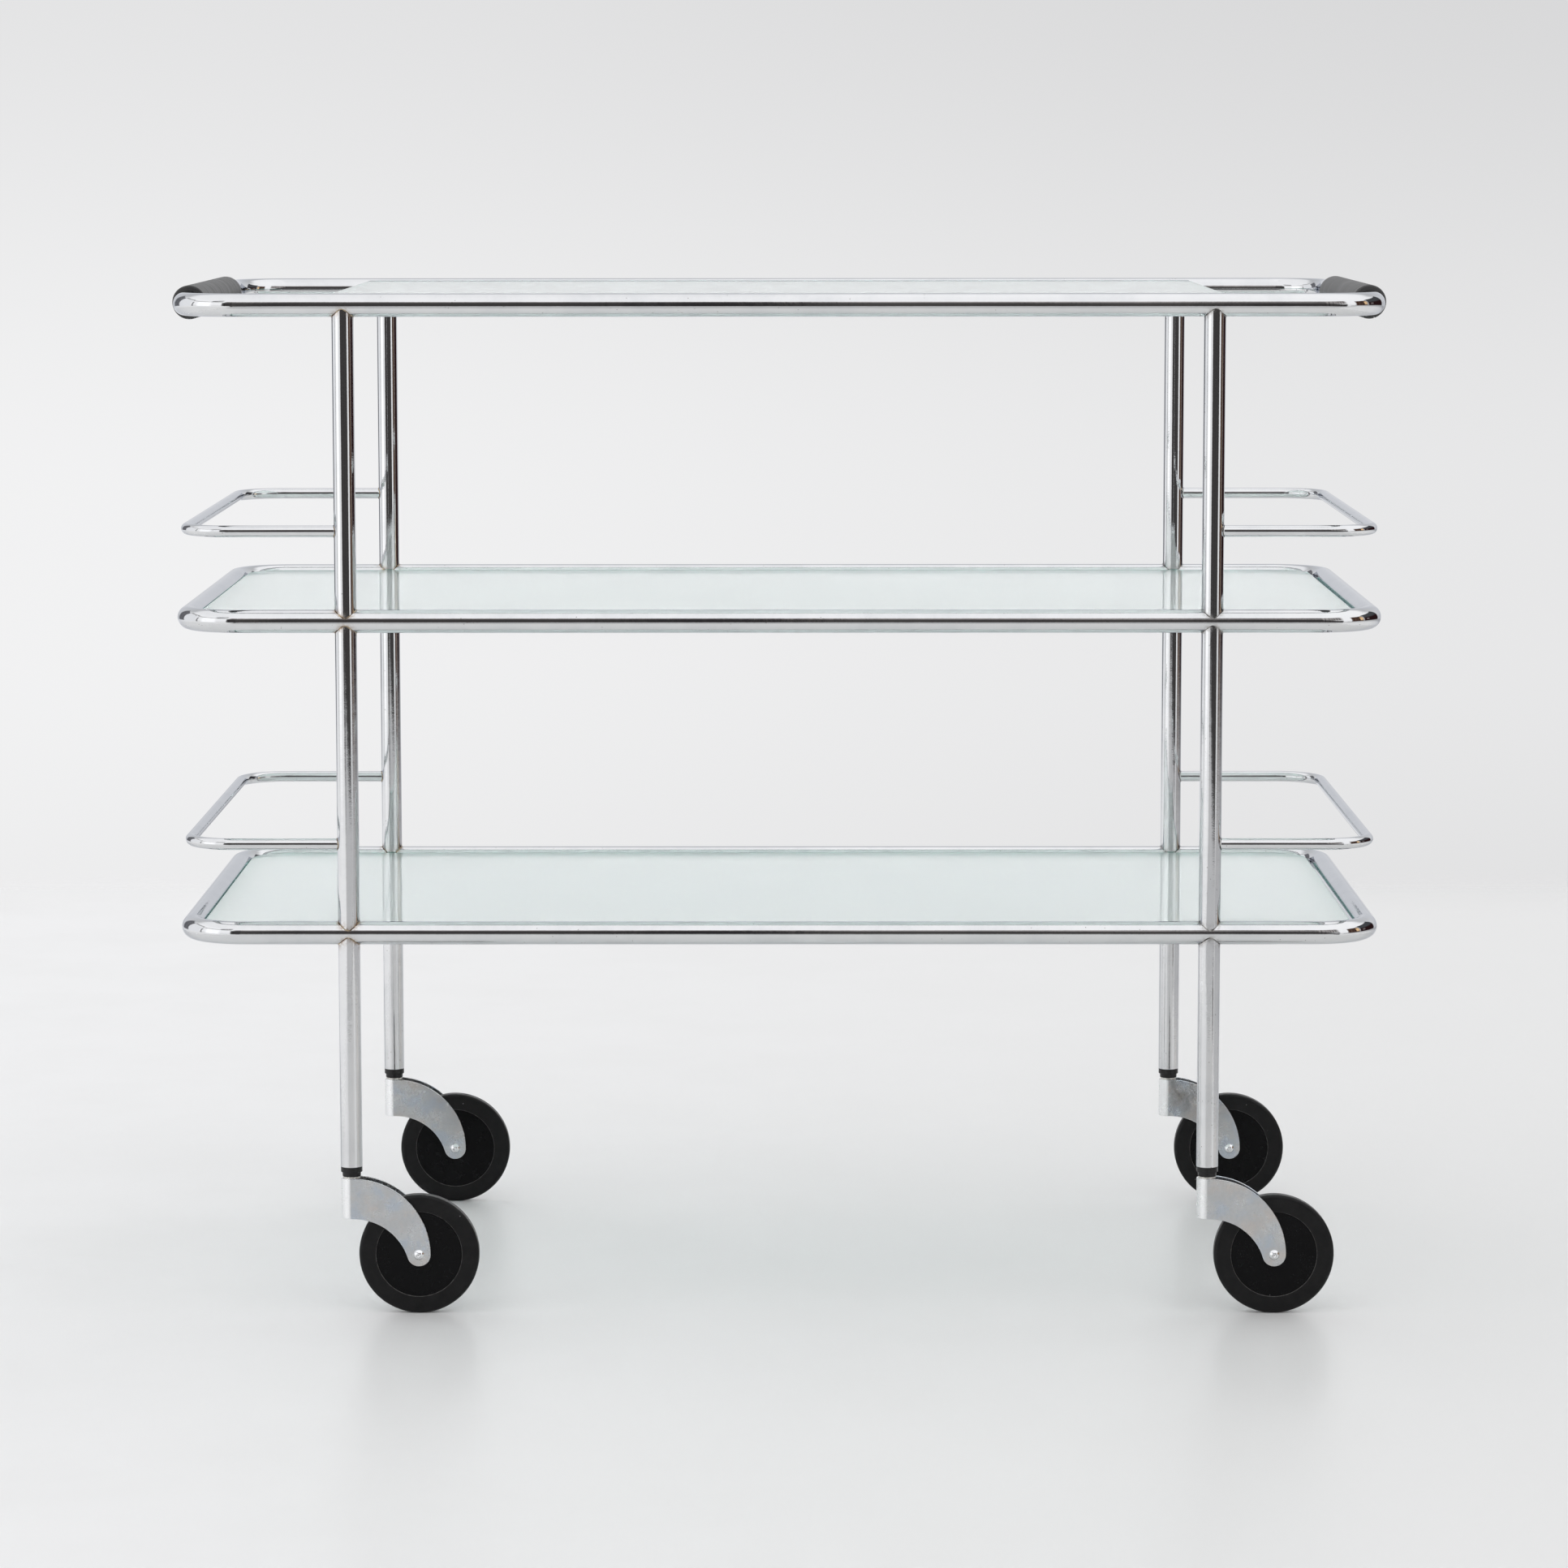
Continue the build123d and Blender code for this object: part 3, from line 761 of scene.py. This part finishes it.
def add_rivet(corner):
    """Axle rivet with a domed and dimpled head outside each cheek of the fork."""
    node = f"axle_rivet_{corner}"
    centre = centre_half(node)[0]
    face = centre_half(f"caster_fork_{corner}")[1].y
    dome_r = (RIVET_HEAD_R**2 + RIVET_HEAD_HEIGHT**2) / (2 * RIVET_HEAD_HEIGHT)
    dimple_r = (RIVET_DIMPLE_R**2 + RIVET_DIMPLE_DEPTH**2) / (2 * RIVET_DIMPLE_DEPTH)
    brow, rim = asin(RIVET_HEAD_R / dome_r), asin(RIVET_DIMPLE_R / dome_r)
    dome_base = face + RIVET_HEAD_HEIGHT - dome_r
    bottom = dome_base + dome_r * cos(rim) - RIVET_DIMPLE_DEPTH
    head = [(RIVET_SHANK_R, face)]
    for k in range(HEAD_STEPS + 1):
        a = brow + (rim - brow) * k / HEAD_STEPS
        head.append((dome_r * sin(a), dome_base + dome_r * cos(a)))
    for k in range(1, HEAD_STEPS):
        a = asin(RIVET_DIMPLE_R / dimple_r) * (1 - k / HEAD_STEPS)
        head.append((dimple_r * sin(a), bottom + dimple_r * (1 - cos(a))))
    outline = [(radius, -height) for radius, height in reversed(head)] + head
    around = [2 * pi * k / RIVET_STEPS for k in range(RIVET_STEPS)]
    points = []
    for radius, height in outline:
        points += [centre + Vector((radius * cos(a), height, radius * sin(a))) for a in around]
    faces = ring_faces(len(outline), RIVET_STEPS)
    for start, height in ((0, -bottom), (len(points) - RIVET_STEPS, bottom)):
        points.append(centre + height * ALONG_Y)
        faces += [(start + k, start + (k + 1) % RIVET_STEPS, len(points) - 1) for k in range(RIVET_STEPS)]
    piece = add_piece(f"rivet_finish_{corner}", points, faces, rivet_finish,
                      f"caster_{corner}", [node])
    piece.data.set_sharp_from_angle(angle=RIVET_CREASE)


def add_caster(corner):
    """Socket, fork, rivet and wheel, with finishes for the small solids that stay as they are."""
    swivel, axle = leg_axes[corner], axles[corner]
    foot = Vector((swivel.x, swivel.y, 0))
    socket_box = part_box(f"caster_socket_{corner}")
    neck_z = socket_box[0].z
    flange_r = (socket_box[1].x - socket_box[0].x) / 2
    flange_z, leg_z = neck_z + NECK_HEIGHT, neck_z + NECK_HEIGHT + FLANGE_HEIGHT
    plug_r = leg_r - LEG_WALL
    top_z = socket_box[1].z
    socket = [(STEM_BORE_R, neck_z, EDGE_R), (NECK_R, neck_z, EDGE_R), (NECK_R, flange_z, EDGE_R),
              (flange_r, flange_z, EDGE_R), (flange_r, leg_z, EDGE_R), (plug_r, leg_z, 0),
              (plug_r, top_z, EDGE_R), (STEM_BORE_R, top_z, EDGE_R)]
    add_turned(f"socket_finish_{corner}", socket, SOCKET_STEPS, foot, UP, socket_finish,
               "trolley", f"caster_socket_{corner}")
    add_fork(corner)
    add_rivet(corner)
    tyre_half = centre_half(f"wheel_tyre_{corner}")[1]
    hub_half = centre_half(f"wheel_hub_{corner}")[1]
    wheel_r, side = tyre_half.x, tyre_half.y
    body = f"wheel_{corner}"

    def dust(radius):
        """Full on the tyre's lip, for its painted highlight line, and half on its tread, for dust."""
        return 1.0 if radius < HUB_R + LIP_HIGHLIGHT else 0.5 * (radius > wheel_r - TREAD_DUST)

    tyre = [(HUB_R, -side, TYRE_LIP_R), (wheel_r, -side, TYRE_SHOULDER_R),
            (wheel_r, side, TYRE_SHOULDER_R), (HUB_R, side, TYRE_LIP_R)]
    add_turned(f"tyre_finish_{corner}", tyre, WHEEL_STEPS, axle, ALONG_Y, tyre_finish,
               body, f"wheel_tyre_{corner}", stain_and_highlight_of=dust)
    hub = [(BUSH_R, -hub_half.y, EDGE_R), (HUB_R, -hub_half.y, EDGE_R),
           (HUB_R, hub_half.y, EDGE_R), (BUSH_R, hub_half.y, EDGE_R)]
    add_turned(f"hub_finish_{corner}", hub, WHEEL_STEPS, axle, ALONG_Y, hub_finish,
               body, f"wheel_hub_{corner}")
    kept = {"caster_stem": stem_finish, "swivel_washer": washer_finish, "wheel_bush": stem_finish}
    for piece, finish in kept.items():
        frame["nodes"][f"{piece}_{corner}"].data.materials[0] = finish


for caster_corner in CORNERS:
    add_caster(caster_corner)


# Stage: a pale floor, and the light around it

def add_sheet(f, corners, clear, surface):
    """A level sheet of the stage between two corners, see-through where clear is 1."""
    mixed = f.add("MixShader")
    f.put(mixed.inputs[0], clear)
    f.put(mixed.inputs[1], surface.outputs[0])
    f.put(mixed.inputs[2], f.add("BsdfTransparent").outputs[0])
    f.add("OutputMaterial", Surface=mixed.outputs[0])
    (x0, y0, z), (x1, y1, _) = corners
    mesh = bpy.data.meshes.new(f.material.name)
    mesh.from_pydata([(x0, y0, z), (x1, y0, z), (x1, y1, z), (x0, y1, z)], [], [(0, 1, 2, 3)])
    mesh.materials.append(f.material)
    sheet = bpy.data.objects.new(f.material.name, mesh)
    bpy.context.scene.collection.objects.link(sheet)


def add_far_floor():
    """Floor further out in front, painted dim as shade where the light falls off, which shows only in
    reflections.
    """
    f = Finish("far_floor")
    across, along, _ = f.add("SeparateXYZ", Vector=f.spot()).outputs
    ahead = f.math("SUBTRACT", f.math("MULTIPLY", across, FAR_FLOOR_SLANT), along)
    mirrored = f.add("LightPath").outputs["Is Glossy Ray"]
    shown = f.math("MULTIPLY", f.step(ahead, *FAR_FLOOR_END, 1.0, 0.0), mirrored)
    clear = f.math("SUBTRACT", 1.0, shown)
    # Painted shade: the far floor's grey is darker than the floor under the trolley.
    surface = f.add("BsdfDiffuse", Color=f.mix(f.noise(4, 5, 0.6), (0.54, 0.54, 0.55), (0.62, 0.62, 0.63)))
    left, right = FAR_FLOOR_SIDES
    corners = (left, -FAR_FLOOR_END[1], FAR_FLOOR_Z), (right, -FAR_FLOOR_START, FAR_FLOOR_Z)
    add_sheet(f, corners, clear, surface)


def add_floor():
    """Pale floor under the trolley, painted lighter towards the left and darker towards the right for the
    light from the left, which fades into the background at its borders.
    """
    f = Finish("floor")
    place = f.add("SeparateXYZ", Vector=f.spot()).outputs
    clear = f.step(f.math("ABSOLUTE", place[0]), *FLOOR_SIDE)
    clear = f.math("MAXIMUM", clear, f.step(f.math("MULTIPLY", place[1], -1.0), *FLOOR_FRONT))
    clear = f.math("MAXIMUM", clear, f.step(place[1], *FLOOR_BACK))
    tone = f.noise(4, 5, 0.6)
    # Painted light: the floor is lighter on the left and darker on the right.
    colour = f.mix(f.step(place[0], -1.0, 1.0), (0.825, 0.825, 0.832), (0.74, 0.74, 0.74))
    colour = f.mix(f.step(tone, 0.35, 0.75, 0.0, 0.35), colour, (0.77, 0.77, 0.77))
    surface = f.add("BsdfPrincipled", Base_Color=colour, Roughness=f.step(tone, 0.3, 0.7, 0.30, 0.36),
                    Specular_IOR_Level=0.25)
    corners = (-FLOOR_SIDE[1], -FLOOR_FRONT[1], 0), (FLOOR_SIDE[1], FLOOR_BACK[1], 0)
    add_sheet(f, corners, clear, surface)


def mirrored_panels(sky, azimuth, elevation):
    """What reflections show, by direction in degrees. Azimuth 0 is straight in front of the trolley and
    90 is to its right."""
    def zone(seen, left, right, low, high, colour, soft=1.0):
        """A panel between two azimuths and two elevations."""
        beside = sky.band(azimuth, left, right, soft)
        share = sky.math("MULTIPLY", beside, sky.band(elevation, low, high, 1.2))
        return sky.mix(share, seen, colour)

    streak = sky.add("TexNoise", {"noise_dimensions": "1D"}, W=azimuth, Scale=0.42, Detail=3.0).outputs["Fac"]
    seen = sky.mix(sky.step(elevation, -8, 8), (0.95, 0.95, 0.96), (1.18, 1.18, 1.20))
    behind = sky.mix(sky.step(elevation, 1, 5), (0.80, 0.805, 0.82), (0.90, 0.905, 0.92))
    behind = sky.mix(sky.step(elevation, 10, 45), behind, (0.64, 0.645, 0.66))
    seen = sky.mix(sky.step(sky.math("ABSOLUTE", azimuth), 112, 140), seen, behind)
    above = sky.mix(sky.step(azimuth, -60, 60), (1.12, 1.12, 1.14), (1.20, 1.20, 1.22))
    seen = sky.mix(sky.step(elevation, 37, 49), seen, above)

    # To the left: a dark, a pale and a white panel, thin dark lines and a slanted dark bar
    grey = sky.mix(sky.step(streak, 0.35, 0.65), (0.09, 0.09, 0.10), (0.30, 0.30, 0.32))
    seen = zone(seen, -146, -122, -9, 31, grey, 2.5)
    seen = zone(seen, -122, -89, -10, 30, (1.02, 1.03, 1.06))
    seen = zone(seen, -124, -90, 31.5, 36.5, (0.55, 0.55, 0.56))
    seen = zone(seen, -74, -46, -11, 30, (1.42, 1.42, 1.44), 4)
    seen = zone(seen, -90, -25, 27.5, 30.5, (0.30, 0.29, 0.29))
    seen = zone(seen, -86, -82.5, -9, 22, (0.28, 0.28, 0.29))
    beam = sky.math("SUBTRACT", elevation, sky.math("MULTIPLY", azimuth, 0.28))
    beam = sky.math("MULTIPLY", sky.band(azimuth, -48, -25, 3), sky.band(beam, 44, 51, 1.5))
    seen = sky.mix(beam, seen, (0.12, 0.12, 0.125))

    # In front: a dark panel, lighter above and to the right
    haze = sky.mix(sky.step(streak, 0.36, 0.62), (0.15, 0.14, 0.14), (0.48, 0.45, 0.445))
    seen = zone(seen, -20, 44, 8, 33, haze, 4)
    dark = sky.mix(sky.step(streak, 0.35, 0.65), (0.030, 0.028, 0.030), (0.085, 0.080, 0.078))
    limit = sky.math("ADD", sky.step(azimuth, -4, 14, 24, 12), sky.step(azimuth, 14, 40, 0, -9))
    under = sky.step(sky.math("SUBTRACT", elevation, limit), -3, 5, 1.0, 0.0)
    seen = sky.mix(sky.math("MULTIPLY", sky.band(azimuth, -25, 46, 1.5), under), seen, dark)

    # To the right: a brown panel with a lit strip, and a dark red one
    brown = sky.mix(sky.step(streak, 0.38, 0.62), (0.035, 0.018, 0.014), (0.13, 0.080, 0.062))
    seen = zone(seen, 63, 90, -60, 26, brown, 1.5)
    seen = zone(seen, 82, 89, -60, 1, (0.22, 0.15, 0.105))
    seen = zone(seen, 82, 89, 1, 20, (0.98, 0.66, 0.37))
    red = sky.mix(sky.step(elevation, 10, 18), (0.026, 0.011, 0.012), (0.075, 0.078, 0.085))
    seen = zone(seen, 91, 137, -60, 31, red, 2)
    seen = zone(seen, 98, 105, 1, 9, (0.20, 0.17, 0.17))

    # The floor further out, dim at its far border, and lower in front, where the far floor's sheet is
    dim = sky.mix(sky.step(azimuth, -30, -6), (1.05, 1.05, 1.06), (0.57, 0.57, 0.58))
    floor = sky.mix(sky.step(elevation, -17, -9), (0.93, 0.93, 0.935), dim)
    border = sky.step(sky.band(azimuth, -11, 52, 3), 0.0, 1.0, -6.7, -18)
    below = sky.step(sky.math("SUBTRACT", elevation, border), -1.4, 1.4, 1.0, 0.0)
    return sky.mix(below, seen, floor)


def backdrop(sky, sideways, elevation):
    """The plain background, a little darker to the right, high up and low down."""
    tone = sky.step(sideways, -0.16, 0.16, 0.885, 0.80)
    tone = sky.math("ADD", tone, sky.step(elevation, -4, 2.5, 0.0, -0.115))
    tone = sky.math("ADD", tone, sky.step(elevation, -9, -5.5, -0.045, 0.0))
    return sky.add("CombineColor", Red=tone, Green=tone, Blue=sky.math("ADD", tone, 0.006)).outputs[0]


def light_stage():
    """Soft light from all round and above, a plain background, and panels for the metal to mirror."""
    world = bpy.data.worlds.new("studio")
    bpy.context.scene.world = world
    world.use_nodes = True
    sky = Finish("studio", world.node_tree)
    ray = sky.add("SeparateXYZ", Vector=sky.add("TexCoord").outputs["Generated"])
    x, y, z = ray.outputs
    degrees = 180 / pi
    azimuth = sky.math("MULTIPLY", sky.math("ARCTAN2", x, sky.math("MULTIPLY", y, -1.0)), degrees)
    elevation = sky.math("MULTIPLY", sky.math("ARCSINE", z), degrees)
    soft = sky.step(elevation, 5, 40, 0.80, 1.12)
    soft_light = sky.add("CombineColor", Red=soft, Green=soft, Blue=soft).outputs[0]
    path = sky.add("LightPath").outputs
    seen = sky.mix(path["Is Glossy Ray"], soft_light, mirrored_panels(sky, azimuth, elevation))
    plain = backdrop(sky, x, elevation)
    through = sky.mix(sky.step(elevation, 4, 14), plain, soft_light)
    seen = sky.mix(path["Is Transmission Ray"], seen, through)
    seen = sky.mix(path["Is Camera Ray"], seen, plain)
    light = sky.add("Background", Color=seen, Strength=1.0)
    sky.add("OutputWorld", Surface=light.outputs[0])


def add_camera():
    """The photograph's camera."""
    forward = Vector((sin(CAMERA_YAW), cos(CAMERA_YAW), 0))
    ahead = cos(CAMERA_PITCH) * forward - sin(CAMERA_PITCH) * UP
    level = Vector((cos(CAMERA_YAW), -sin(CAMERA_YAW), 0))
    down = ahead.cross(level)
    right = level * cos(CAMERA_ROLL) + down * sin(CAMERA_ROLL)
    up = level * sin(CAMERA_ROLL) - down * cos(CAMERA_ROLL)
    lens = bpy.data.cameras.new("camera")
    lens.lens, lens.sensor_width, lens.sensor_fit = CAMERA_LENS, CAMERA_SENSOR, "HORIZONTAL"
    camera = bpy.data.objects.new("camera", lens)
    bpy.context.scene.collection.objects.link(camera)
    turned = Matrix((right, up, -ahead)).transposed().to_4x4()
    camera.matrix_world = Matrix.Translation(CAMERA_PLACE) @ turned
    bpy.context.scene.camera = camera


add_floor()
add_far_floor()
light_stage()
add_camera()
bpy.context.scene.view_settings.view_transform = "Standard"
